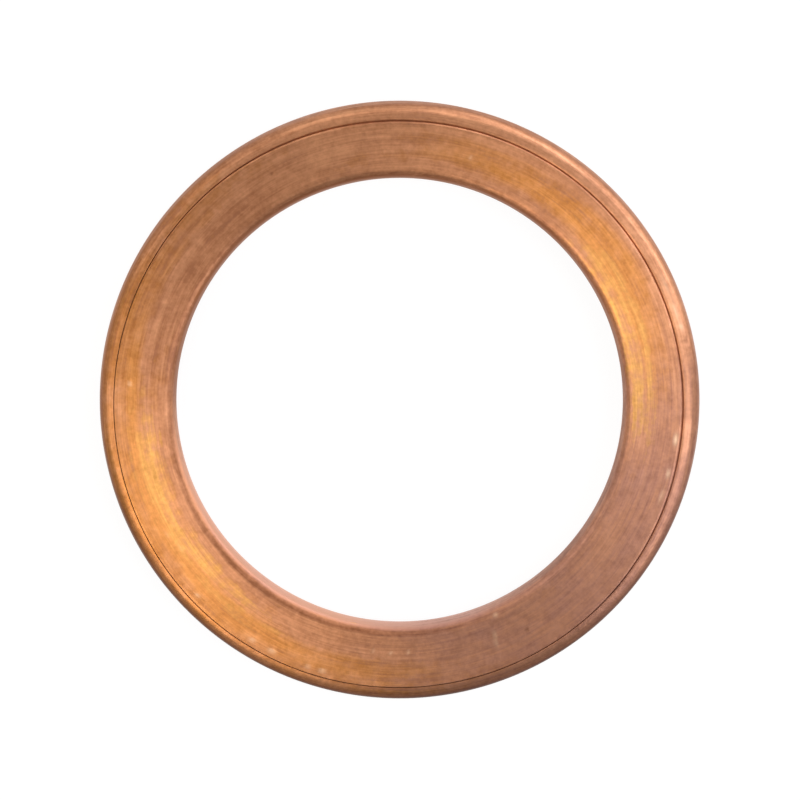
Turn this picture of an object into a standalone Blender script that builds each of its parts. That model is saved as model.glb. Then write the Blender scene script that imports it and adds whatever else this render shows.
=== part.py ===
"""A copper plug washer: a flat hollow sealing ring, folded from one thin sheet.

The ring is one piece. Its top face steps down under a lip that is rolled inwards
from the outside wall, and the seam between them runs round the top near the rim.
It crushes between a screw plug and its housing, and so seals the thread.
Lengths are in metres, +Z is up, and the ring lies on Z = 0 about the Z axis.
"""

import math

import bmesh
import bpy

MM = 0.001

# Size of the ring
BORE_DIAMETER = 16.3 * MM
OUTER_DIAMETER = 21.9 * MM
THICKNESS = 2.0 * MM

# The folded sheet
SHEET = 0.25 * MM
BEND_INSIDE_RADIUS = 0.10 * MM
WALL_BULGE_ANGLE = math.radians(12.0)  # lean of a wall at its bends, which bows it past them

# The lip, rolled over from the outer wall in a wider bend, down to a slight slope
LIP_BEND_INSIDE_RADIUS = 0.25 * MM
LIP_SLOPE = math.radians(14.0)
LIP_SET_DOWN = 0.055 * MM  # from the level of the top face to the end of the lip's bend
LIP_REACH = 0.33 * MM  # from the inside of the outer wall to the lip's free edge
LIP_EDGE_RADIUS = 0.04 * MM

# The step that takes the top face down under the lip, pressed sharp by the rolling
STEP_ANGLE = math.radians(86.0)
SHOULDER_RADIUS = 0.07 * MM
FOOT_RADIUS = 0.05 * MM
SEAM_GAP = 0.03 * MM  # between the lip and the step, and between the lip and the edge tucked under it
TUCK_CLEARANCE = 0.20 * MM  # from the inside of the outer wall to the tucked edge

# How unevenly the lip was rolled over
SEAM_OFF_CENTRE = 0.085 * MM
SEAM_OFF_CENTRE_TOWARDS = math.radians(243.0)
SEAM_WAVE = 0.015 * MM
SEAM_WAVES = 4
SEAM_WAVE_START = math.radians(46.0)

# Fineness of the mesh
RING_STEPS = 88
BEND_STEPS = 3
WALL_STEPS = 4
SHOULDER_STEPS = 4
FOOT_STEPS = 2
LIP_STEPS = 5
LIP_EDGE_STEPS = 2
HOLLOW_BEND_STEPS = 2
HOLLOW_WALL_STEPS = 2
HOLLOW_FOOT_STEPS = 3
SHARP_ANGLE = math.radians(50.0)

# Finish: bare copper, drawn bright by the press tools and a little dulled
COPPER_COLOUR = (0.552, 0.235, 0.105, 1.0)
COPPER_ROUGHNESS = 0.38

# Worked out from the sizes above
BORE_RADIUS = BORE_DIAMETER / 2
OUTER_RADIUS = OUTER_DIAMETER / 2
BEND_RADIUS = BEND_INSIDE_RADIUS + SHEET
BEND_ANGLE = math.pi / 2 - WALL_BULGE_ANGLE
BEND_RISE = BEND_RADIUS * (1 - math.cos(BEND_ANGLE))
BORE_WALL_RADIUS = (THICKNESS / 2 - BEND_RISE) / math.sin(WALL_BULGE_ANGLE)
BORE_BULGE = BORE_WALL_RADIUS * (1 - math.cos(WALL_BULGE_ANGLE))
BORE_FLAT_END = BORE_RADIUS + BORE_BULGE + BEND_RADIUS * math.sin(BEND_ANGLE)
LIP_BEND_RADIUS = LIP_BEND_INSIDE_RADIUS + SHEET
LIP_BEND_HEIGHT = THICKNESS - LIP_SET_DOWN - LIP_BEND_RADIUS * math.cos(LIP_SLOPE)
RIM_WALL_TOP = LIP_BEND_HEIGHT + LIP_BEND_RADIUS * math.cos(BEND_ANGLE)
RIM_WALL_RADIUS = (RIM_WALL_TOP - BEND_RISE) / 2 / math.sin(WALL_BULGE_ANGLE)
RIM_WALL_MIDDLE = (RIM_WALL_TOP + BEND_RISE) / 2
RIM_WALL_END = OUTER_RADIUS - RIM_WALL_RADIUS * (1 - math.cos(WALL_BULGE_ANGLE))
RIM_FLAT_END = RIM_WALL_END - BEND_RADIUS * math.sin(BEND_ANGLE)
LIP_BEND_CENTRE = RIM_WALL_END - LIP_BEND_RADIUS * math.sin(BEND_ANGLE)
LIP_EDGE = OUTER_RADIUS - SHEET - LIP_REACH
LIP_END_SLANT = SHEET * math.tan(LIP_SLOPE)  # what the underside is shorter by, so that the lip ends plumb
TUCKED_EDGE = OUTER_RADIUS - SHEET - TUCK_CLEARANCE


def remove_everything():
    """Empties the scene, so that the model is the same on every run."""
    for thing in list(bpy.data.objects):
        bpy.data.objects.remove(thing, do_unlink=True)


def arc(centre, radius, first, last, steps):
    """Points of a round stretch of the section. Angles turn from straight up towards the rim."""
    angles = [first + (last - first) * step / steps for step in range(steps + 1)]
    return [(centre[0] + radius * math.sin(angle), centre[1] + radius * math.cos(angle)) for angle in angles]


def bore_side(depth, bend_steps, wall_steps):
    """The bore's wall and its two bends, from the top face down to the bottom face.

    depth is measured into the sheet: 0 is its outside, and SHEET is the side in the hollow.
    """
    bend = BEND_RADIUS - depth
    top = arc((BORE_FLAT_END, THICKNESS - BEND_RADIUS), bend, 0.0, -BEND_ANGLE, bend_steps)
    wall = arc((BORE_RADIUS + BORE_WALL_RADIUS, THICKNESS / 2), BORE_WALL_RADIUS - depth,
               -BEND_ANGLE, BEND_ANGLE - math.pi, wall_steps)
    bottom = arc((BORE_FLAT_END, BEND_RADIUS), bend, BEND_ANGLE - math.pi, -math.pi, bend_steps)
    return top + wall[1:-1] + bottom


def rim_side(depth, bend_steps, wall_steps):
    """The bottom bend at the rim and the outer wall, up to where the lip's bend begins."""
    bottom = arc((RIM_FLAT_END, BEND_RADIUS), BEND_RADIUS - depth, math.pi, math.pi - BEND_ANGLE, bend_steps)
    wall = arc((OUTER_RADIUS - RIM_WALL_RADIUS, RIM_WALL_MIDDLE), RIM_WALL_RADIUS - depth,
               math.pi - BEND_ANGLE, BEND_ANGLE, wall_steps)
    return bottom + wall[1:-1]


def lip_point(along, depth):
    """A point of the lip, by its distance along the middle of the sheet from the end of the wall."""
    middle = LIP_BEND_RADIUS - SHEET / 2
    turned = max(BEND_ANGLE - along / middle, LIP_SLOPE)
    straight = along - middle * (BEND_ANGLE - turned)
    reach = LIP_BEND_RADIUS - depth
    radius = LIP_BEND_CENTRE + reach * math.sin(turned) - straight * math.cos(LIP_SLOPE)
    return (radius, LIP_BEND_HEIGHT + reach * math.cos(turned) + straight * math.sin(LIP_SLOPE))


def lip_length(lip_edge):
    """Length of the lip along the middle of the sheet. It may end past its bend or on it."""
    middle = LIP_BEND_RADIUS - SHEET / 2
    past_bend = LIP_BEND_CENTRE + LIP_BEND_RADIUS * math.sin(LIP_SLOPE) - lip_edge
    if past_bend > 0.0:
        return middle * (BEND_ANGLE - LIP_SLOPE) + past_bend / math.cos(LIP_SLOPE)
    return middle * (BEND_ANGLE - math.asin((lip_edge - LIP_BEND_CENTRE) / LIP_BEND_RADIUS))


def lip_outside(length):
    """The outside of the lip, from the wall to its rounded free edge, and down to its underside."""
    smooth = length - LIP_EDGE_RADIUS
    points = [lip_point(smooth * step / LIP_STEPS, 0.0) for step in range(LIP_STEPS + 1)]
    for along, depth in arc((smooth, LIP_EDGE_RADIUS), LIP_EDGE_RADIUS, 0.0, math.pi / 2, LIP_EDGE_STEPS)[1:]:
        points.append(lip_point(along, 2 * LIP_EDGE_RADIUS - depth))
    return points


def lip_inside(length):
    """The underside of the lip, from the wall to the plumb end of the lip."""
    under = length - LIP_END_SLANT
    return [lip_point(under * step / LIP_STEPS, SHEET) for step in range(LIP_STEPS + 1)]


def foot_centre(lip_edge):
    """Where the foot of the step turns, round the lower corner of the lip at the seam's gap."""
    radius, height = lip_point(lip_length(lip_edge) - LIP_END_SLANT, SHEET)
    into_lip = FOOT_RADIUS - SEAM_GAP
    return (radius + into_lip, height + into_lip * math.tan(math.pi / 4 - LIP_SLOPE / 2))


def tucked_edge(foot, depth):
    """A corner of the tucked edge. The sheet lies parallel to the lip from the step's foot to there."""
    reach = FOOT_RADIUS + depth
    along = (TUCKED_EDGE - foot[0] + FOOT_RADIUS * math.sin(LIP_SLOPE)) / math.cos(LIP_SLOPE)
    radius = foot[0] - reach * math.sin(LIP_SLOPE) + along * math.cos(LIP_SLOPE)
    return (radius, foot[1] - reach * math.cos(LIP_SLOPE) - along * math.sin(LIP_SLOPE))


def step_outside(lip_edge):
    """The outside of the sheet from its tucked edge up the step to the top face."""
    foot = foot_centre(lip_edge)
    turns = FOOT_RADIUS + SHOULDER_RADIUS
    rise = THICKNESS - SHOULDER_RADIUS - foot[1] + turns * math.cos(STEP_ANGLE)
    run = turns * math.sin(STEP_ANGLE) + rise / math.tan(STEP_ANGLE)
    shoulder = (foot[0] - run, THICKNESS - SHOULDER_RADIUS)
    points = [tucked_edge(foot, 0.0)]
    points += arc(foot, FOOT_RADIUS, math.pi + LIP_SLOPE, math.pi + STEP_ANGLE, FOOT_STEPS)
    return points + arc(shoulder, SHOULDER_RADIUS, STEP_ANGLE, 0.0, SHOULDER_STEPS)


def step_inside(lip_edge):
    """The side of the step in the hollow, from the tucked edge to the underside of the top face."""
    foot = foot_centre(lip_edge)
    reach = FOOT_RADIUS + SHEET
    turned = math.acos((foot[1] - THICKNESS + SHEET) / reach)
    return [tucked_edge(foot, SHEET)] + arc(foot, reach, math.pi + LIP_SLOPE, math.pi + turned, HOLLOW_FOOT_STEPS)


def sheet_section(lip_edge):
    """The closed section of the folded sheet, as (radius, height) points.

    It follows the outside of the sheet from the tucked edge over the top face, the
    bore, the bottom face and the outer wall to the lip, and returns inside the hollow.
    """
    length = lip_length(lip_edge)
    outside = step_outside(lip_edge)
    outside += bore_side(0.0, BEND_STEPS, WALL_STEPS)
    outside += rim_side(0.0, BEND_STEPS, WALL_STEPS)
    outside += lip_outside(length)
    hollow = step_inside(lip_edge)
    hollow += bore_side(SHEET, HOLLOW_BEND_STEPS, HOLLOW_WALL_STEPS)
    hollow += rim_side(SHEET, HOLLOW_BEND_STEPS, HOLLOW_WALL_STEPS)
    hollow += lip_inside(length)
    return outside + hollow[::-1]


def lip_edge_at(angle):
    """Radius of the lip's free edge at an angle round the ring."""
    off_centre = SEAM_OFF_CENTRE * math.cos(angle - SEAM_OFF_CENTRE_TOWARDS)
    wave = SEAM_WAVE * math.cos(SEAM_WAVES * (angle - SEAM_WAVE_START))
    return LIP_EDGE + off_centre + wave


def copper():
    """The material of the sheet."""
    material = bpy.data.materials.new("bare_copper")
    material.use_nodes = True
    shader = material.node_tree.nodes["Principled BSDF"]
    shader.inputs["Base Color"].default_value = COPPER_COLOUR
    shader.inputs["Metallic"].default_value = 1.0
    shader.inputs["Roughness"].default_value = COPPER_ROUGHNESS
    return material


def plug_washer():
    """Carries the section once round the ring's axis, and joins the last ring to the first."""
    body = bmesh.new()
    rings = []
    for step in range(RING_STEPS):
        angle = 2 * math.pi * step / RING_STEPS
        across, along = math.cos(angle), math.sin(angle)
        section = sheet_section(lip_edge_at(angle))
        rings.append([body.verts.new((radius * across, radius * along, height)) for radius, height in section])
    for ring, following in zip(rings, rings[1:] + rings[:1]):
        for point in range(len(ring)):
            before = point - 1
            body.faces.new((ring[before], ring[point], following[point], following[before]))
    bmesh.ops.recalc_face_normals(body, faces=body.faces)
    mesh = bpy.data.meshes.new("plug_washer")
    body.to_mesh(mesh)
    body.free()
    mesh.shade_smooth()
    mesh.set_sharp_from_angle(angle=SHARP_ANGLE)
    mesh.materials.append(copper())
    washer = bpy.data.objects.new("plug_washer", mesh)
    bpy.context.scene.collection.objects.link(washer)


remove_everything()
plug_washer()
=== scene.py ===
"""A folded copper plug washer in its used finish, lying on a plain pale stage.

The washer is one thin sheet, folded into a flat hollow ring. Its lip is rolled over
the stepped edge of the top face, and the seam between them runs round near the rim.
Lengths are in metres and +Z is up. The ring lies on Z = 0 about the Z axis.
"""

import math

import bpy
from bpy.props import FloatProperty, FloatVectorProperty, IntProperty, PointerProperty
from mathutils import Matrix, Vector


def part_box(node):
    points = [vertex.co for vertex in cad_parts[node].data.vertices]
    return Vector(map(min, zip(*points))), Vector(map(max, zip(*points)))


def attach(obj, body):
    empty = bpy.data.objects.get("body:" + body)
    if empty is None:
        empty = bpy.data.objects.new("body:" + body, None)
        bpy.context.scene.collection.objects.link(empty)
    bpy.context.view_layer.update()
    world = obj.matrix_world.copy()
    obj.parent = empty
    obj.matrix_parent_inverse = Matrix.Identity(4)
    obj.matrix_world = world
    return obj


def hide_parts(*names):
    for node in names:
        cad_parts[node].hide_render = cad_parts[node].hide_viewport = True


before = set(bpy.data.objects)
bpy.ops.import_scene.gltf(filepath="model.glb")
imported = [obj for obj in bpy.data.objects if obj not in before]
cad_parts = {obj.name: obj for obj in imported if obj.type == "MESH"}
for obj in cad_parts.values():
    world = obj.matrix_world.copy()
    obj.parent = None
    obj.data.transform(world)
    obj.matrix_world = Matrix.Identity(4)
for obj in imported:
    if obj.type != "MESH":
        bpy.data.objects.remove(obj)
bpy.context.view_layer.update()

bl_info = {
    "name": "Folded copper plug washer",
    "version": (1, 0, 0),
    "blender": (4, 5, 0),
    "location": "3D View > Sidebar > Plug Washer",
    "description": "Models a folded copper plug washer and the pale stage that it lies on",
    "category": "Object",
}

MM = 0.001
NODE = "plug_washer"
LOW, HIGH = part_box(NODE)
MIDDLE_HEIGHT = (LOW.z + HIGH.z) / 2
TURN = 2 * math.pi
SMOOTH_UP_TO = math.radians(50)

# The photograph: its width in pixels, and how many pixels its middle is off the ring's
IMAGE_WIDTH = 800
AIM_OFF = (0.37, 0.86)
SENSOR = 36.0
CLIP_START = 0.01

FLOOR_SIZE = 1.2
FLOOR_GLOW = 1.06
FLOOR_GLOW_SHARE = 0.85

# Soft lights, all at one distance: the azimuth and elevation in degrees, the width and height,
# the brightness as seen from the ring, and the colour
LIGHT_DISTANCE = 0.5
LIGHTS = {
    "window_light": (42, 13, 0.75, 0.22, 4.4, "ECF0FF"),
    "key_light": (2, 57, 0.28, 0.28, 2.4, "EEF4FF"),
    "front_light": (330, 38, 0.28, 0.28, 2.3, "EEF2FF"),
    "side_light": (180, 42, 0.24, 0.24, 1.6, "FFFAF2"),
    "upper_light": (115, 35, 0.80, 0.25, 1.8, "FFFFFF"),
    "left_light": (225, 55, 0.28, 0.28, 2.4, "FFF2E2"),
    "top_right_light": (20, 75, 0.25, 0.20, 0.8, "FFF8F0"),
    "top_left_light": (225, 75, 0.20, 0.20, 1.0, "FFFAF4"),
}

# How far the seam is pressed flat round the ring, as a share: its mean and its swing. Past
# nothing and the whole it stays level.
PRESSED_MEAN, PRESSED_SWING = 0.5, 0.9

# Brushed patterns, each with its length along the ring and its width in millimetres, and its
# detail. The real lines are about 0.02 mm wide, and are drawn coarser so that they show.
BRUSHED = {"lines": (1.6, 0.06, 2.0), "streaks": (2.4, 0.19, 2.0), "smears": (4.5, 0.55, 3.0)}

# Blotches of oxide, with their size in millimetres and their detail
BLOTCHES = {"grain": (0.13, 1.0), "mottle": (0.38, 3.0), "patches": (2.2, 3.0)}

# Stretches of the ring, with the azimuth of their middle and how far they reach to either side
# Most stretches aim painted light: right, left and far_left the golden highlight tint, glint the yellow
# highlight, front a pale cool tint, shade, back and dim painted shade, and the stretch at the lower left a
# painted reflection on the bore wall and painted shade on its bend
STRETCHES = {
    "right": (48, 62), "glint": (16, 38), "left": (210, 48), "far_left": (205, 115), "front": (318, 70),
    "shade": (258, 105), "back": (88, 105), "lower_left": (240, 75), "dim": (148, 45),
}

# Zones across the sheet in millimetres: what is measured and from where, and the distances at
# which the zone begins and is complete
ZONES = {
    "face": ("radius", 9.40, 0.85, 0.25),
    "inner_half": ("radius", 8.85, 0.70, 0.30),
    "middle": ("radius", 9.35, 0.90, 0.20),
    "outer_half": ("radius", 0.0, 9.20, 9.80),
    "rim": ("radius", 0.0, 10.52, 10.80),
    "edge": ("radius", 0.0, 10.68, 10.88),
    "bend": ("radius", 8.40, 0.20, 0.08),
    "bore": ("radius", 0.0, 8.42, 8.25),
    # Painted shade: this zone darkens the walls through the oxide tone
    "walls": ("height", MIDDLE_HEIGHT / MM, 0.84, 0.64),
}

# Where a stretch and a zone meet
# The places on the rim, its outer edge, the bore at the back and the bore's bend at the lower left carry
# painted shade, the bore wall at the lower left a painted reflection, and the two glint places painted
# highlight
PLACES = {
    "right_face": ("right", "face"), "right_glint": ("glint", "inner_half"),
    "left_face": ("left", "middle"), "left_edge": ("far_left", "outer_half"),
    "shaded_rim": ("shade", "rim"), "shaded_edge": ("shade", "edge"),
    "shaded_bore": ("back", "bore"), "lit_bore": ("lower_left", "bore"),
    "dull_shaded_bend": ("lower_left", "bend"), "bright_bend": ("glint", "bend"),
}

# Tones over the plain copper, in the order in which they are laid on. Each has its blending, a
# level that is mostly less than nothing, and the shares of what brings it out. The oxide, the dirt
# and the violet tint darken what is under them, and the other tones replace it. Several tones
# carry painted highlight, light or shade as well, as noted at each.
TONES = {
    # Golden: a painted highlight tint on the stretches of the face where the lamps' highlights fall, broken
    # up by the smears, mottle and patches
    "golden": ("MIX", -2.20, {"right_face": 1.0, "right_glint": 0.5, "left_face": 0.8, "left_edge": 1.0,
                              "smears": 1.4, "mottle": 1.0, "patches": 1.4}),
    # Pink: cleaner copper in the brush lines and patches, with painted light that pales the front and lies
    # on the bore wall facing the lamps
    "pink": ("MIX", -2.25, {"front": 0.5, "lines": 1.2, "streaks": 1.3, "grain": 0.6, "patches": 1.0,
                            "lit_bore": 1.0}),
    # Yellow: painted highlight, bright streaks where the lamps' highlights fall on the face and on the
    # bore's bend
    "yellow": ("MIX", -3.40, {"right_glint": 1.3, "left_face": 1.2, "bright_bend": 0.3, "streaks": 3.2,
                              "mottle": 2.0}),
    # Violet: painted light, a cool tint laid on the front
    "violet": ("MULTIPLY", -0.35, {"front": 1.0, "patches": 0.7}),
    # Oxide in the lines and blotches, with painted shade on the walls, on the rim and the bore wall turned
    # from the lamps, on a stretch of the face and on the bore's bend at the lower left. It is lifted off the
    # bore wall that faces the lamps, a painted reflection.
    "tarnish_and_shade": ("MULTIPLY", -1.55, {"lines": 0.9, "streaks": 1.1, "mottle": 0.8, "grain": 0.6,
                                    "patches": 0.5, "walls": 0.4, "shaded_rim": 0.4, "dim": 0.3,
                                    "shaded_bore": 0.8, "lit_bore": -1.0, "dull_shaded_bend": 0.4}),
    # Bare metal in the knocks, and painted highlight on the lip where the lamps' highlight falls
    "fresh_and_highlight": ("MIX", 0.0, {"rubbed": 1.0}),
    # Dirt in the smears and the soiled knocks, and painted shade on the rim and its outer edge on the side
    # turned from the lamps
    "grime_and_shade": ("MULTIPLY", -0.35, {"rubbed": -1.0, "smears": 0.6, "shaded_rim": 0.45, "shaded_edge": 0.4}),
}

# Shares of what roughens the copper and of what its relief is made from
ROUGHENING = {"streaks": 0.20, "tarnish_and_shade": 0.06, "golden": -0.05, "dull_shaded_bend": 0.25}
RELIEF = {"lines": 0.10, "streaks": 0.25, "mottle": 0.35, "smears": 0.30}

# The quarter turn that stretches highlights across the brush lines
ACROSS_THE_LINES = 0.25

# Places of the two colour inputs of a Mix node, which share their names with other inputs
MIX_UNDER, MIX_OVER = 6, 7

# Small knocks on the upper side: the azimuth in degrees, then in millimetres the radius, the
# length along the ring, the width across it and the depth, and last how bright the knock is
# as bare metal and partly as painted highlight, or by how much it is soiled where that is
# negative. A knock fades out towards its length and width, is left out below its least share,
# and stays above a depth.
KNOCK_FADE = 4
KNOCK_LEAST = 0.02
KNOCK_REACH_DOWN = 0.15 * MM
KNOCKS = (
    (352.5, 10.12, 0.38, 0.14, 0.010, 0.8),
    (345.3, 10.10, 0.30, 0.12, 0.010, 0.6),
    (340.5, 10.11, 0.50, 0.12, 0.004, 0.3),
    (299.3, 9.50, 0.12, 0.12, 0.015, -0.9),
    (294.3, 8.50, 0.16, 0.14, 0.008, 0.45),
    (292.3, 9.16, 0.11, 0.30, 0.010, 0.35),
    (291.8, 9.45, 0.10, 0.34, 0.010, 0.35),
    (272.0, 9.12, 0.12, 0.12, 0.008, 0.4),
    (268.0, 9.16, 0.12, 0.12, 0.008, 0.4),
    (263.9, 9.12, 0.12, 0.12, 0.008, 0.3),
    (253.9, 10.20, 0.26, 0.14, 0.012, 0.5),
    (250.8, 10.21, 0.18, 0.12, 0.010, 0.4),
    (242.8, 10.20, 0.30, 0.14, 0.012, 0.5),
    (238.2, 10.20, 0.22, 0.12, 0.012, 0.5),
    (223.6, 10.18, 0.18, 0.12, 0.010, 0.4),
    (213.5, 9.56, 0.34, 0.10, 0.010, 0.15),
    (209.5, 9.72, 0.30, 0.10, 0.010, 0.15),
    (175.8, 9.83, 0.14, 0.12, 0.008, 0.5),
    (119.0, 9.55, 0.14, 0.12, 0.010, -0.6),
    (74.0, 9.30, 0.12, 0.16, 0.008, 0.3),
    # Painted highlight: these three have no depth, and only brighten the lip where the lamps' highlight
    # falls
    (24.0, 10.56, 0.80, 0.14, 0.000, 0.2),
    (18.5, 10.57, 0.60, 0.14, 0.000, 0.3),
    (15.3, 10.60, 0.30, 0.14, 0.000, 0.4),
    (12.3, 10.62, 0.14, 0.34, 0.014, -0.6),
)


def linear(hex_colour):
    """An sRGB hex colour as the linear RGB that shaders and colour properties work in."""
    channels = [int(hex_colour[at:at + 2], 16) / 255 for at in (0, 2, 4)]
    return tuple(c / 12.92 if c <= 0.04045 else ((c + 0.055) / 1.055) ** 2.4 for c in channels)


class WasherSizes(bpy.types.PropertyGroup):
    """Sizes of the folded ring and of its seam."""

    outer_diameter: FloatProperty(
        name="Outer diameter", description="Width of the ring over its bowed outer wall",
        default=HIGH.x - LOW.x, unit="LENGTH")
    bore_diameter: FloatProperty(
        name="Bore diameter", description="Width of the hole at the bore wall's narrowest place",
        default=16.3 * MM, unit="LENGTH")
    thickness: FloatProperty(
        name="Thickness", description="Height of the folded ring before it is crushed",
        default=HIGH.z - LOW.z, unit="LENGTH")
    sheet: FloatProperty(
        name="Sheet", description="Thickness of the copper sheet", default=0.25 * MM, unit="LENGTH")
    bend_inside_radius: FloatProperty(
        name="Bend radius", description="Inside radius of the fold's bends, apart from the lip's",
        default=0.10 * MM, unit="LENGTH")
    wall_bulge: FloatProperty(
        name="Wall bulge", description="How far a wall leans at its bends, which bows it past them",
        default=math.radians(12), subtype="ANGLE")
    lip_bend_inside_radius: FloatProperty(
        name="Lip bend radius", description="Inside radius of the wider bend that rolls the lip over",
        default=0.25 * MM, unit="LENGTH")
    lip_slope: FloatProperty(
        name="Lip slope", description="How far the lip slopes down from its free edge to its bend",
        default=math.radians(14), subtype="ANGLE")
    lip_set_down: FloatProperty(
        name="Lip set down", description="From the level of the top face to the end of the lip's bend",
        default=0.055 * MM, unit="LENGTH")
    lip_reach: FloatProperty(
        name="Lip reach", description="From the inside of the outer wall to the free edge of the lip",
        default=0.32 * MM, unit="LENGTH")
    lip_edge_radius: FloatProperty(
        name="Lip edge", description="Rounding of the free edge of the lip",
        default=0.08 * MM, unit="LENGTH")
    step_angle: FloatProperty(
        name="Step angle", description="How steeply the top face steps down under the lip",
        default=math.radians(86), subtype="ANGLE")
    shoulder_radius: FloatProperty(
        name="Shoulder radius", description="Rounding of the top face's edge where it steps down",
        default=0.12 * MM, unit="LENGTH")
    foot_radius: FloatProperty(
        name="Foot radius", description="Rounding at the foot of the step", default=0.03 * MM, unit="LENGTH")
    seam_gap: FloatProperty(
        name="Seam gap", description="From the lip to the step and to the edge that is tucked under it",
        default=0.008 * MM, unit="LENGTH")
    tuck_clearance: FloatProperty(
        name="Tuck clearance", description="From the inside of the outer wall to the tucked edge",
        default=0.20 * MM, unit="LENGTH")
    seam_pressed: FloatProperty(
        name="Seam pressed",
        description="By how much the seam's edges are sharper where it was pressed flattest",
        default=0.88, min=0.0, max=0.9, subtype="FACTOR")
    seam_pressed_towards: FloatProperty(
        name="Pressed towards", description="Direction in which the seam was pressed flattest",
        default=math.radians(225), subtype="ANGLE")
    seam_off_centre: FloatProperty(
        name="Seam off centre", description="How far off the bore's centre the seam was rolled",
        default=0.085 * MM, unit="LENGTH")
    seam_off_centre_towards: FloatProperty(
        name="Off centre towards", description="Direction in which the seam is off centre",
        default=math.radians(243), subtype="ANGLE")
    seam_wave: FloatProperty(
        name="Seam wave", description="How far the seam swings in and out on its way round",
        default=0.015 * MM, unit="LENGTH")
    seam_waves: IntProperty(
        name="Seam waves", description="How often the seam swings in and out on its way round", default=4)
    seam_wave_start: FloatProperty(
        name="Seam wave start", description="Direction in which one of the seam's outward swings is",
        default=math.radians(46), subtype="ANGLE")
    ring_steps: IntProperty(
        name="Ring steps", description="Steps of the mesh round the ring", default=720, min=88, max=720)


class CopperFinish(bpy.types.PropertyGroup):
    """Colours and roughness of the used copper, with its painted highlight and shade."""

    copper: FloatVectorProperty(
        name="Copper", description="Brushed copper of the faces", subtype="COLOR", size=3,
        default=linear("D4966E"))
    # Partly painted highlight: the golden tint lies on the stretches of the face where the lamps' highlights
    # fall
    golden: FloatVectorProperty(
        name="Golden copper", description="Stretches that handling has burnished",
        subtype="COLOR", size=3, default=linear("DE9858"))
    # Painted highlight: the yellow streaks lie where the lamps' highlights fall
    yellow: FloatVectorProperty(
        name="Yellow copper", description="Brightest brush lines of the burnished stretches",
        subtype="COLOR", size=3, default=linear("FFC070"))
    # Partly painted light: the pink also pales the front and lies on the bore wall that faces the lamps
    pink: FloatVectorProperty(
        name="Pink copper", description="Cleaner copper, where the oxide has been rubbed off",
        subtype="COLOR", size=3, default=linear("D8A084"))
    # Painted light: a cool tint laid on the front of the ring
    violet: FloatVectorProperty(
        name="Violet film",
        description="What the thin violet oxide leaves of the light, on one side of the ring",
        subtype="COLOR", size=3, default=linear("ECEEFF"))
    # Oxide and painted shade: the same tone darkens the walls, the rim and the bore wall turned from the
    # lamps, a stretch of the face and the bore's bend
    tarnish_and_shade: FloatVectorProperty(
        name="Tarnish",
        description="What thick brown oxide leaves of the light, in the lines and on the walls",
        subtype="COLOR", size=3, default=linear("BEB2AA"))
    # Bare metal and painted highlight: the same tone brightens spots on the lip where the lamps' highlight
    # falls
    fresh_and_highlight: FloatVectorProperty(
        name="Fresh metal", description="Bare metal in the small knocks",
        subtype="COLOR", size=3, default=linear("F8D4B0"))
    # Dirt and painted shade: the same tone darkens the rim and its outer edge on the side turned from the
    # lamps
    grime_and_shade: FloatVectorProperty(
        name="Grime", description="What dirt in the small pits leaves of the light",
        subtype="COLOR", size=3, default=linear("8A7468"))
    roughness: FloatProperty(
        name="Roughness", description="Mean roughness of the brushed faces", default=0.38, min=0.0, max=1.0,
        subtype="FACTOR")
    anisotropy: FloatProperty(
        name="Anisotropy", description="How much the circular brush lines stretch a highlight",
        default=0.7, min=0.0, max=1.0, subtype="FACTOR")
    relief: FloatProperty(
        name="Brush relief", description="Depth of the brush lines and of the unevenness between them",
        default=0.035 * MM, unit="LENGTH")


class StudioStage(bpy.types.PropertyGroup):
    """Camera, lights and floor."""

    camera_tilt: FloatProperty(
        name="Camera tilt", description="How far the camera leans from straight above the ring",
        default=math.radians(5.5), subtype="ANGLE")
    lens: FloatProperty(name="Lens", description="Focal length in millimetres", default=250.0)
    view_width: FloatProperty(
        name="View width", description="Width that the camera sees at the middle of the ring",
        default=29.21 * MM, unit="LENGTH")
    floor: FloatVectorProperty(
        name="Floor", description="Colour of the floor", subtype="COLOR", size=3, default=linear("F4F4F4"))
    surround: FloatProperty(
        name="Surround", description="Brightness of the plain surround", default=0.28, min=0.0)


def arc(centre, radius, first, last, steps):
    """Points of a round stretch of the section. Angles turn from straight up towards the rim."""
    angles = [first + (last - first) * step / steps for step in range(steps + 1)]
    return [(centre[0] + radius * math.sin(angle), centre[1] + radius * math.cos(angle)) for angle in angles]


def between(start, end, steps):
    """Points inside a straight stretch of the section, without its two ends."""
    return [(start[0] + (end[0] - start[0]) * step / steps, start[1] + (end[1] - start[1]) * step / steps)
            for step in range(1, steps)]


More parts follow.
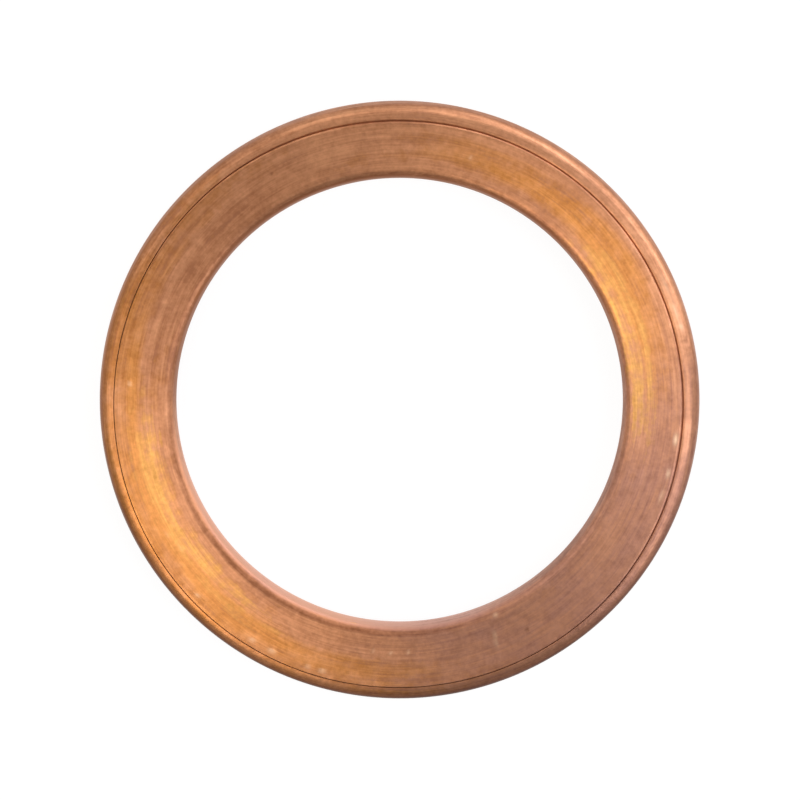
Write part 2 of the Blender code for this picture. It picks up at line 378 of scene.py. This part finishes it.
class Fold:
    """The section of the folded sheet, worked out from its sizes.

    Points are (radius, height), and depth is measured into the sheet: 0 is its outside,
    and the sheet's thickness is the side in the hollow. The share by which the seam is
    pressed makes its two edges and the foot of the step sharper.
    """

    def __init__(self, sizes, pressed=0.0):
        self.sizes = sizes
        self.lip_edge = sizes.lip_edge_radius * (1 - pressed)
        self.shoulder = sizes.shoulder_radius * (1 - pressed)
        self.foot = sizes.foot_radius * (1 - pressed)
        self.bore, self.rim, self.top = sizes.bore_diameter / 2, sizes.outer_diameter / 2, sizes.thickness
        self.bend_angle = math.pi / 2 - sizes.wall_bulge
        self.bend = sizes.bend_inside_radius + sizes.sheet
        self.lip_bend = sizes.lip_bend_inside_radius + sizes.sheet
        self.lip_middle = self.lip_bend - sizes.sheet / 2
        lean, bulge = math.sin(sizes.wall_bulge), 1 - math.cos(sizes.wall_bulge)
        across = math.sin(self.bend_angle)
        rise = self.bend * (1 - math.cos(self.bend_angle))
        self.bore_wall = (self.top / 2 - rise) / lean
        self.bore_flat = self.bore + self.bore_wall * bulge + self.bend * across
        self.lip_height = self.top - sizes.lip_set_down - self.lip_bend * math.cos(sizes.lip_slope)
        wall_top = self.lip_height + self.lip_bend * math.cos(self.bend_angle)
        self.rim_wall = (wall_top - rise) / 2 / lean
        self.rim_middle = (wall_top + rise) / 2
        wall_end = self.rim - self.rim_wall * bulge
        self.rim_flat = wall_end - self.bend * across
        self.lip_centre = wall_end - self.lip_bend * across
        self.lip_bend_length = self.lip_middle * (self.bend_angle - sizes.lip_slope)
        self.lip_slant = sizes.sheet * math.tan(sizes.lip_slope)
        self.tucked = self.rim - sizes.sheet - sizes.tuck_clearance

    def bore_side(self, depth, bend_steps, wall_steps):
        """The bore's wall and its two bends, from the top face down to the bottom face."""
        turn, reach = self.bend_angle, self.bend - depth
        upper = arc((self.bore_flat, self.top - self.bend), reach, 0.0, -turn, bend_steps)
        wall = arc((self.bore + self.bore_wall, self.top / 2), self.bore_wall - depth,
                   -turn, turn - math.pi, wall_steps)
        lower = arc((self.bore_flat, self.bend), reach, turn - math.pi, -math.pi, bend_steps)
        return upper + wall[1:-1] + lower

    def rim_side(self, depth, bend_steps, wall_steps):
        """The bottom bend at the rim and the outer wall, up to where the lip's bend begins."""
        turn = self.bend_angle
        lower = arc((self.rim_flat, self.bend), self.bend - depth, math.pi, math.pi - turn, bend_steps)
        wall = arc((self.rim - self.rim_wall, self.rim_middle), self.rim_wall - depth,
                   math.pi - turn, turn, wall_steps)
        return lower + wall[1:-1]

    def lip_point(self, along, depth):
        """A point of the lip, by its distance along the middle of the sheet from the end of the wall."""
        slope = self.sizes.lip_slope
        turned = max(self.bend_angle - along / self.lip_middle, slope)
        straight = along - self.lip_middle * (self.bend_angle - turned)
        reach = self.lip_bend - depth
        radius = self.lip_centre + reach * math.sin(turned) - straight * math.cos(slope)
        return (radius, self.lip_height + reach * math.cos(turned) + straight * math.sin(slope))

    def lip_length(self, edge_at):
        """Length of the lip along the middle of the sheet, from the wall to its free edge at a radius."""
        slope = self.sizes.lip_slope
        past_bend = self.lip_centre + self.lip_bend * math.sin(slope) - edge_at
        return self.lip_bend_length + past_bend / math.cos(slope)

    def lip_side(self, length, depth, bend_steps, straight_steps):
        """One side of the lip, from the wall round its bend and on to its length."""
        bend, straight = self.lip_bend_length, length - self.lip_bend_length
        points = [self.lip_point(bend * step / bend_steps, depth) for step in range(bend_steps)]
        points += [self.lip_point(bend + straight * step / straight_steps, depth)
                   for step in range(straight_steps + 1)]
        return points

    def lip_outside(self, length, bend_steps, straight_steps, edge_steps):
        """The outside of the lip, from the wall over its rounded free edge."""
        edge = self.lip_edge
        smooth = length - edge
        points = self.lip_side(smooth, 0.0, bend_steps, straight_steps)
        for along, depth in arc((smooth, edge), edge, 0.0, math.pi / 2, edge_steps)[1:]:
            points.append(self.lip_point(along, 2 * edge - depth))
        return points

    def tucked_edge(self, foot, depth):
        """A corner of the tucked edge. The sheet lies parallel to the lip from the step's foot to there."""
        slope, turn = self.sizes.lip_slope, self.foot
        along = (self.tucked - foot[0] + turn * math.sin(slope)) / math.cos(slope)
        radius = foot[0] - (turn + depth) * math.sin(slope) + along * math.cos(slope)
        return (radius, foot[1] - (turn + depth) * math.cos(slope) - along * math.sin(slope))

    def step(self, length, foot_steps, shoulder_steps, hollow_steps):
        """The two sides of the step, from the tucked edge to the top face and to its underside."""
        sizes, slope = self.sizes, self.sizes.lip_slope
        radius, height = self.lip_point(length - self.lip_slant, sizes.sheet)
        into_lip = self.foot - sizes.seam_gap
        foot = (radius + into_lip, height + into_lip * math.tan(math.pi / 4 - slope / 2))
        turns = self.foot + self.shoulder
        rise = self.top - self.shoulder - foot[1] + turns * math.cos(sizes.step_angle)
        run = turns * math.sin(sizes.step_angle) + rise / math.tan(sizes.step_angle)
        shoulder = (foot[0] - run, self.top - self.shoulder)
        outside = [self.tucked_edge(foot, 0.0)]
        outside += arc(foot, self.foot, math.pi + slope, math.pi + sizes.step_angle, foot_steps)
        outside += arc(shoulder, self.shoulder, sizes.step_angle, 0.0, shoulder_steps)
        reach = self.foot + sizes.sheet
        turned = math.acos((foot[1] - self.top + sizes.sheet) / reach)
        inside = [self.tucked_edge(foot, sizes.sheet)]
        inside += arc(foot, reach, math.pi + slope, math.pi + turned, hollow_steps)
        return outside, inside

    def section(self, lip_shift):
        """The closed section, with the lip's free edge shifted outwards by lip_shift.

        It follows the outside of the sheet from the tucked edge over the top face, the
        bore, the bottom face and the outer wall to the lip, and returns inside the hollow.
        """
        sheet = self.sizes.sheet
        length = self.lip_length(self.rim - sheet - self.sizes.lip_reach + lip_shift)
        outside, hollow = self.step(length, foot_steps=3, shoulder_steps=6, hollow_steps=3)
        outside += between(outside[-1], (self.bore_flat, self.top), steps=22)
        outside += self.bore_side(0.0, bend_steps=8, wall_steps=8)
        outside += between(outside[-1], (self.rim_flat, 0.0), steps=12)
        outside += self.rim_side(0.0, bend_steps=8, wall_steps=8)
        outside += self.lip_outside(length, bend_steps=11, straight_steps=3, edge_steps=4)
        hollow += self.bore_side(sheet, bend_steps=2, wall_steps=2)
        hollow += self.rim_side(sheet, bend_steps=2, wall_steps=2)
        hollow += self.lip_side(length - self.lip_slant, sheet, bend_steps=4, straight_steps=2)
        return outside + hollow[::-1]


def draw_section(sizes):
    """Extrudes one vertex along the section and closes it.

    Two vertex groups keep how far a point goes outwards and down as the lip's edge goes
    outwards, and an attribute keeps where it goes as the seam is pressed flat, so that
    the seam can be rolled unevenly once the section is turned.
    """
    fold = Fold(sizes)
    section = fold.section(0.0)
    bpy.ops.object.select_all(action="DESELECT")
    bpy.ops.mesh.primitive_plane_add(size=MM, location=(section[0][0], 0.0, section[0][1]))
    piece = bpy.context.object
    piece.name = piece.data.name = "folded_copper_ring"
    bpy.ops.object.transform_apply(location=True)
    bpy.ops.object.mode_set(mode="EDIT")
    bpy.ops.mesh.select_all(action="SELECT")
    bpy.ops.mesh.merge(type="CENTER")
    for before, point in zip(section, section[1:]):
        move = (point[0] - before[0], 0.0, point[1] - before[1])
        bpy.ops.mesh.extrude_region_move(TRANSFORM_OT_translate={"value": move})
    bpy.ops.object.mode_set(mode="OBJECT")
    piece.data.vertices[0].select = True
    bpy.ops.object.mode_set(mode="EDIT")
    bpy.ops.mesh.edge_face_add()
    bpy.ops.object.mode_set(mode="OBJECT")

    outwards = piece.vertex_groups.new(name="outwards")
    down = piece.vertex_groups.new(name="down")
    shift = sizes.seam_wave
    for index, (point, shifted) in enumerate(zip(section, fold.section(shift))):
        outwards.add([index], (shifted[0] - point[0]) / shift, "REPLACE")
        down.add([index], (point[1] - shifted[1]) / shift, "REPLACE")
    moves = []
    for point, flat in zip(section, Fold(sizes, sizes.seam_pressed).section(0.0)):
        moves += (flat[0] - point[0], 0.0, flat[1] - point[1])
    pressed = piece.data.attributes.new("pressed", "FLOAT_VECTOR", "POINT")
    pressed.data.foreach_set("vector", moves)
    return piece


def turn_section(piece, steps):
    """Turns the section once round the Z axis into the closed ring."""
    screw = piece.modifiers.new("turned", "SCREW")
    screw.axis = "Z"
    screw.angle = TURN
    screw.steps = screw.render_steps = steps
    screw.use_merge_vertices = True
    screw.merge_threshold = 0.001 * MM
    bpy.ops.object.modifier_apply(modifier=screw.name)
    bpy.ops.object.mode_set(mode="EDIT")
    bpy.ops.mesh.select_all(action="SELECT")
    bpy.ops.mesh.normals_make_consistent(inside=False)
    bpy.ops.object.mode_set(mode="OBJECT")


def roll_seam(piece, sizes):
    """Moves the lip and the step under it in and out, as unevenly as they were rolled.

    The seam is also pressed flatter towards one side, and not at all towards the other.
    """
    pressed = piece.data.attributes["pressed"].data
    for vertex in piece.data.vertices:
        outwards, down = (group.weight for group in vertex.groups)
        angle = math.atan2(vertex.co.y, vertex.co.x)
        shift = sizes.seam_off_centre * math.cos(angle - sizes.seam_off_centre_towards)
        shift += sizes.seam_wave * math.cos(sizes.seam_waves * (angle - sizes.seam_wave_start))
        share = PRESSED_MEAN + PRESSED_SWING * math.cos(angle - sizes.seam_pressed_towards)
        move = pressed[vertex.index].vector * min(max(share, 0.0), 1.0)
        reach = outwards * shift + move.x
        vertex.co.x += reach * math.cos(angle)
        vertex.co.y += reach * math.sin(angle)
        vertex.co.z += move.z - down * shift
    piece.data.attributes.remove(piece.data.attributes["pressed"])


def knock(piece):
    """Presses the small knocks into the upper side and notes how bright each is, partly as painted
    highlight, or how soiled.
    """
    # Bare metal and painted highlight where positive, dirt where negative
    rubbed = piece.data.attributes.new("rubbed", "FLOAT", "POINT")
    for azimuth, radius, length, width, depth, shine in KNOCKS:
        outwards = sky_direction(azimuth, 0)
        sideways = sky_direction(azimuth + 90, 0)
        for vertex in piece.data.vertices:
            if vertex.co.z < HIGH.z - KNOCK_REACH_DOWN:
                continue
            along = vertex.co.dot(sideways) / (length * MM)
            across = (vertex.co.dot(outwards) - radius * MM) / (width * MM)
            share = math.exp(-KNOCK_FADE * (along * along + across * across))
            if share > KNOCK_LEAST:
                vertex.co.z -= depth * MM * share
                rubbed.data[vertex.index].value += shine * share


def add_node(tree, kind, inputs=(), **settings):
    """Adds a node with its settings. Each input is a value, or the node or socket that feeds it."""
    node = tree.nodes.new(kind)
    for name, value in settings.items():
        setattr(node, name, value)
    for key, value in dict(inputs).items():
        if isinstance(value, bpy.types.Node):
            value = next(socket for socket in value.outputs if socket.enabled)
        if isinstance(value, bpy.types.NodeSocket):
            tree.links.new(value, node.inputs[key])
        else:
            node.inputs[key].default_value = value
    return node


def copper_signals(tree, mean_radius):
    """The patterns, stretches, zones and places that the copper's tones are mixed from, by name."""
    place = add_node(tree, "ShaderNodeTexCoord").outputs["Object"]
    place = add_node(tree, "ShaderNodeVectorMath", {0: place, "Scale": 1 / MM}, operation="SCALE")
    level = add_node(tree, "ShaderNodeVectorMath", {0: place, 1: (1.0, 1.0, 0.0)}, operation="MULTIPLY")
    around = add_node(tree, "ShaderNodeVectorMath", {0: level}, operation="NORMALIZE")
    measures = {"radius": add_node(tree, "ShaderNodeVectorMath", {0: level}, operation="LENGTH"),
                "height": add_node(tree, "ShaderNodeSeparateXYZ", {0: place}).outputs["Z"]}

    signals = {"rubbed": add_node(tree, "ShaderNodeAttribute", attribute_name="rubbed").outputs["Fac"]}
    for name, (length, width, detail) in BRUSHED.items():
        along = add_node(tree, "ShaderNodeVectorMath", {0: around, "Scale": mean_radius / MM / length},
                         operation="SCALE")
        across = add_node(tree, "ShaderNodeMath", {0: measures["radius"], 1: width}, operation="DIVIDE")
        across = add_node(tree, "ShaderNodeCombineXYZ", {"Z": across})
        where = add_node(tree, "ShaderNodeVectorMath", {0: along, 1: across}, operation="ADD")
        down = add_node(tree, "ShaderNodeMath", {0: measures["height"], 1: width}, operation="DIVIDE")
        signals[name] = add_node(
            tree, "ShaderNodeTexNoise", {"Vector": where, "W": down, "Scale": 1.0, "Detail": detail},
            noise_dimensions="4D")
    for name, (size, detail) in BLOTCHES.items():
        signals[name] = add_node(
            tree, "ShaderNodeTexNoise", {"Vector": place, "Scale": 1 / size, "Detail": detail})
    for name, (azimuth, reach) in STRETCHES.items():
        facing = add_node(tree, "ShaderNodeVectorMath", {0: around, 1: sky_direction(azimuth, 0)},
                          operation="DOT_PRODUCT")
        signals[name] = add_node(
            tree, "ShaderNodeMapRange",
            {"Value": facing, "From Min": math.cos(math.radians(reach)), "From Max": 1.0},
            interpolation_type="SMOOTHSTEP")
    for name, (measure, start, begins, complete) in ZONES.items():
        off = add_node(tree, "ShaderNodeMath", {0: measures[measure], 1: start}, operation="SUBTRACT")
        off = add_node(tree, "ShaderNodeMath", {0: off}, operation="ABSOLUTE")
        signals[name] = add_node(
            tree, "ShaderNodeMapRange", {"Value": off, "From Min": begins, "From Max": complete},
            interpolation_type="SMOOTHSTEP")
    for name, (stretch, zone) in PLACES.items():
        signals[name] = add_node(tree, "ShaderNodeMath", {0: signals[stretch], 1: signals[zone]},
                                 operation="MULTIPLY")
    return signals


def add_up(tree, signals, level, shares):
    """Adds shares of the named signals to a level."""
    for name, share in shares.items():
        level = add_node(tree, "ShaderNodeMath", {0: signals[name], 1: share, 2: level},
                         operation="MULTIPLY_ADD")
    return level


def copper_material(finish, mean_radius):
    """Soft copper sheet, brushed in circles by the press tools and dulled by handling.

    Bare copper tints all that it reflects, and its brush lines stretch each highlight across
    themselves. Brown oxide lies in the lines and blotches, and cleaner pink copper shows between.
    Painted shade darkens the walls all round, the rim and the bore wall on their sides turned from
    the lamps, a stretch of the face and the bore's bend at the lower left. Painted highlight tints
    the two stretches of the face where the lamps' highlights fall golden and streaks them yellow,
    and painted light makes the front paler and cooler and the bore wall that faces the lamps pink.
    """
    material = bpy.data.materials.new("brushed_handled_copper_and_painted_light")
    material.use_nodes = True
    tree = material.node_tree
    shader = tree.nodes["Principled BSDF"]
    signals = copper_signals(tree, mean_radius)

    colour = (*finish.copper, 1.0)
    for name, (blend, level, shares) in TONES.items():
        signals[name] = add_node(tree, "ShaderNodeClamp", {0: add_up(tree, signals, level, shares)})
        tone = (*getattr(finish, name), 1.0)
        colour = add_node(tree, "ShaderNodeMix", {0: signals[name], MIX_UNDER: colour, MIX_OVER: tone},
                          data_type="RGBA", blend_type=blend)
    tree.links.new(next(socket for socket in colour.outputs if socket.enabled), shader.inputs["Base Color"])

    rough = add_up(tree, signals, finish.roughness - ROUGHENING["streaks"] / 2, ROUGHENING)
    tree.links.new(rough.outputs[0], shader.inputs["Roughness"])

    relief = add_up(tree, signals, 0.0, RELIEF)
    bump = add_node(tree, "ShaderNodeBump", {"Height": relief, "Distance": finish.relief})
    tree.links.new(bump.outputs[0], shader.inputs["Normal"])

    tangent = add_node(tree, "ShaderNodeTangent", direction_type="RADIAL", axis="Z")
    tree.links.new(tangent.outputs[0], shader.inputs["Tangent"])
    shader.inputs["Metallic"].default_value = 1.0
    shader.inputs["Anisotropic"].default_value = finish.anisotropy
    shader.inputs["Anisotropic Rotation"].default_value = ACROSS_THE_LINES
    return material


class FoldRing(bpy.types.Operator):
    """Models the folded ring and gives it its used copper finish, with painted highlight and shade"""

    bl_idname = "plug_washer.fold_ring"
    bl_label = "Fold the copper ring"

    def execute(self, context):
        sizes = context.scene.washer_sizes
        piece = draw_section(sizes)
        turn_section(piece, sizes.ring_steps)
        roll_seam(piece, sizes)
        knock(piece)
        bpy.ops.object.shade_smooth_by_angle(angle=SMOOTH_UP_TO)
        mean_radius = (sizes.outer_diameter + sizes.bore_diameter) / 4
        piece.data.materials.append(copper_material(context.scene.copper_finish, mean_radius))
        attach(piece, "root")
        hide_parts(NODE)
        return {"FINISHED"}


def sky_direction(azimuth, elevation):
    """Unit vector towards an azimuth and elevation in degrees. Azimuth 0 is +X and 90 is +Y."""
    azimuth, elevation = math.radians(azimuth), math.radians(elevation)
    level = math.cos(elevation)
    return Vector((level * math.cos(azimuth), level * math.sin(azimuth), math.sin(elevation)))


def soft_box(name, azimuth, elevation, width, height, radiance, colour):
    """A soft light that faces the ring, with its brightness as seen from there."""
    towards = sky_direction(azimuth, elevation)
    turn = towards.to_track_quat("Z", "Y").to_euler()
    bpy.ops.object.light_add(type="AREA", location=towards * LIGHT_DISTANCE, rotation=turn)
    lamp = bpy.context.object
    lamp.name = lamp.data.name = name
    lamp.data.shape = "RECTANGLE"
    lamp.data.size, lamp.data.size_y = width, height
    lamp.data.energy = radiance * math.pi * width * height
    lamp.data.color = linear(colour)


def floor_material(stage):
    """Matt white card. It looks white to the camera and in reflections, and keeps the ring's shadow."""
    material = bpy.data.materials.new("matt_white_card")
    material.use_nodes = True
    tree = material.node_tree
    tree.nodes.clear()
    path = add_node(tree, "ShaderNodeLightPath").outputs
    seen = add_node(tree, "ShaderNodeMath", {0: path["Is Camera Ray"], 1: path["Is Glossy Ray"]},
                    operation="MAXIMUM")
    seen = add_node(tree, "ShaderNodeMath", {0: seen, 1: path["Is Transmission Ray"]}, operation="MAXIMUM")
    share = add_node(tree, "ShaderNodeMath", {0: seen, 1: FLOOR_GLOW_SHARE}, operation="MULTIPLY")
    card = add_node(tree, "ShaderNodeBsdfDiffuse", {"Color": (*stage.floor, 1.0)})
    white = add_node(tree, "ShaderNodeEmission", {"Color": (1, 1, 1, 1), "Strength": FLOOR_GLOW})
    mix = add_node(tree, "ShaderNodeMixShader", {0: share, 1: card, 2: white})
    add_node(tree, "ShaderNodeOutputMaterial", {"Surface": mix})
    return material


class SetStage(bpy.types.Operator):
    """Sets up the camera, the soft lights and the pale floor"""

    bl_idname = "plug_washer.set_stage"
    bl_label = "Set the stage"

    def execute(self, context):
        stage = context.scene.studio_stage
        bpy.ops.object.select_all(action="DESELECT")
        bpy.ops.mesh.primitive_plane_add(size=FLOOR_SIZE, location=(0.0, 0.0, 0.0))
        floor = bpy.context.object
        floor.name = floor.data.name = "pale_floor"
        floor.data.materials.append(floor_material(stage))

        for name, light in LIGHTS.items():
            soft_box(name, *light)

        world = bpy.data.worlds.new("plain_surround")
        context.scene.world = world
        world.use_nodes = True
        tree = world.node_tree
        tree.nodes.clear()
        seen = add_node(tree, "ShaderNodeLightPath").outputs["Is Camera Ray"]
        plain = add_node(tree, "ShaderNodeBackground", {"Color": (1, 1, 1, 1), "Strength": stage.surround})
        white = add_node(tree, "ShaderNodeBackground", {"Color": (1, 1, 1, 1), "Strength": 1.0})
        mix = add_node(tree, "ShaderNodeMixShader", {0: seen, 1: plain, 2: white})
        add_node(tree, "ShaderNodeOutputWorld", {"Surface": mix})
        context.scene.view_settings.view_transform = "Standard"

        tilt = stage.camera_tilt
        distance = stage.view_width * stage.lens / SENSOR
        pixel = stage.view_width / IMAGE_WIDTH
        aim = Vector((AIM_OFF[0] * pixel, AIM_OFF[1] * pixel, MIDDLE_HEIGHT))
        place = aim + distance * Vector((0.0, math.sin(tilt), math.cos(tilt)))
        bpy.ops.object.camera_add(location=place, rotation=(-tilt, 0.0, 0.0))
        camera = bpy.context.object
        camera.name = camera.data.name = "photo_camera"
        camera.data.lens = stage.lens
        camera.data.sensor_width = SENSOR
        camera.data.clip_start = CLIP_START
        context.scene.camera = camera
        return {"FINISHED"}


class WasherPanel(bpy.types.Panel):
    """Lists the washer's sizes, finish and stage"""

    bl_idname = "VIEW3D_PT_plug_washer"
    bl_label = "Folded copper plug washer"
    bl_space_type = "VIEW_3D"
    bl_region_type = "UI"
    bl_category = "Plug Washer"

    def draw(self, context):
        scene = context.scene
        for group, operator in ((scene.washer_sizes, FoldRing), (scene.copper_finish, FoldRing),
                                (scene.studio_stage, SetStage)):
            box = self.layout.box()
            for name in group.__annotations__:
                box.prop(group, name)
            box.operator(operator.bl_idname)


CLASSES = (WasherSizes, CopperFinish, StudioStage, FoldRing, SetStage, WasherPanel)


def register():
    for cls in CLASSES:
        bpy.utils.register_class(cls)
    bpy.types.Scene.washer_sizes = PointerProperty(type=WasherSizes)
    bpy.types.Scene.copper_finish = PointerProperty(type=CopperFinish)
    bpy.types.Scene.studio_stage = PointerProperty(type=StudioStage)


def unregister():
    del bpy.types.Scene.studio_stage
    del bpy.types.Scene.copper_finish
    del bpy.types.Scene.washer_sizes
    for cls in reversed(CLASSES):
        bpy.utils.unregister_class(cls)


def main():
    register()
    bpy.ops.plug_washer.fold_ring()
    bpy.ops.plug_washer.set_stage()


if __name__ == "__main__":
    main()
